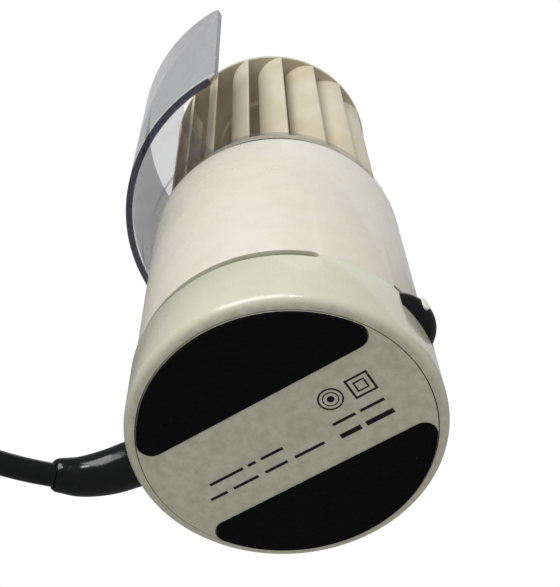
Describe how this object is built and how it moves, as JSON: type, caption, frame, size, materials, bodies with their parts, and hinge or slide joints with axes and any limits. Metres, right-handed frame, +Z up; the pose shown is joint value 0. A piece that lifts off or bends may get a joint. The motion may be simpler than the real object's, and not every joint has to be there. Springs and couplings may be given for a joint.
{
  "type": "small desk fan",
  "caption": "Upright round desk fan: cream body, bladed drum on top, swivelling clear curved air guide, thumb wheel switch and mains lead.",
  "frame": {"origin": "middle of the round base, on the surface that the foot pads stand on", "axes": "+Z up along the motor shaft; +X to the right and -Y to the front, where the thumb wheel is front right and the mains lead leaves on the left"},
  "size_m": [0.2097, 0.1239, 0.174],
  "materials": {
    "shell_cream": "glossy moulded plastic, slightly yellowed",
    "base_cream": "glossy moulded plastic, more yellowed",
    "drum_beige": "satin moulded plastic with dust",
    "guide_smoke": "clear smoky plastic",
    "pad_black": "napped black foam",
    "knob_black": "polished black plastic",
    "mark_white": "white inlay",
    "cord_black": "shiny black flexible plastic",
    "inner_black": "moulded black plastic",
    "inner_white": "moulded nylon",
    "zinc_steel": "zinc-plated steel",
    "laminated_iron": "stacked dark laminations",
    "sintered_bronze": "sintered bronze",
    "brass": "turned brass",
    "copper": "enamelled copper",
    "cast_aluminium": "cast aluminium",
    "grommet_rubber": "soft rubber",
    "plate_phenolic": "brown laminate board",
    "nickel": "nickel-plated brass"
  },
  "bodies": {
    "housing": {"base_shell": "base_cream", "bottom_plate": "base_cream", "foot_pad_front": "pad_black", "foot_pad_rear": "pad_black", "plate_screws": "zinc_steel", "body_screws": "zinc_steel", "upper_shell": "shell_cream", "guide_retainer": "inner_black", "switch_bracket": "inner_black", "switch_contacts": "brass", "detent_spring": "zinc_steel", "stator_core": "laminated_iron", "shading_rings": "copper", "coil_bobbin": "inner_white", "coil_winding": "copper", "lower_bracket": "cast_aluminium", "upper_bracket": "cast_aluminium", "lower_bush": "sintered_bronze", "upper_bush": "sintered_bronze", "bracket_spacers": "zinc_steel", "motor_screws": "zinc_steel", "motor_nuts": "zinc_steel", "rubber_grommets": "grommet_rubber", "motor_plate": "plate_phenolic", "motor_plate_screws": "zinc_steel", "terminal_block": "inner_white", "terminal_screws": "brass", "coil_leads": "inner_white", "switch_leads": "inner_white", "clamp_block": "inner_white", "cord_clamp": "inner_white", "clamp_screws": "zinc_steel", "cord_tail": "cord_black", "strain_relief": "cord_black", "cord_run": "cord_black", "cord_coil": "cord_black", "coil_tie": "inner_black", "cord_end": "cord_black", "plug_body": "cord_black", "plug_pins": "nickel"},
    "drum": {"drum_base": "drum_beige", "hub_bush": "brass", "hub_screw": "zinc_steel", "drum_blades": "drum_beige", "drum_top": "drum_beige", "motor_shaft": "zinc_steel", "rotor_core": "laminated_iron", "rotor_end_rings": "cast_aluminium", "thrust_washers": "inner_white"},
    "guide": {"air_guide": "guide_smoke"},
    "wheel": {"switch_wheel": "knob_black", "wheel_dot": "mark_white", "switch_cam": "inner_white"}
  },
  "joints": [
    {"name": "drum_spin", "type": "hinge", "parent": "housing", "child": "drum", "pos_m": [0, 0, 0.098], "axis": [0, 0, 1], "continuous": true},
    {"name": "guide_turn", "type": "hinge", "parent": "housing", "child": "guide", "pos_m": [0, 0, 0.091], "axis": [0, 0, 1], "continuous": true},
    {"name": "wheel_turn", "type": "hinge", "parent": "housing", "child": "wheel", "pos_m": [0.02641, -0.01708, 0.0206], "axis": [0, 0, 1], "range_deg": [-30, 30]}
  ]
}
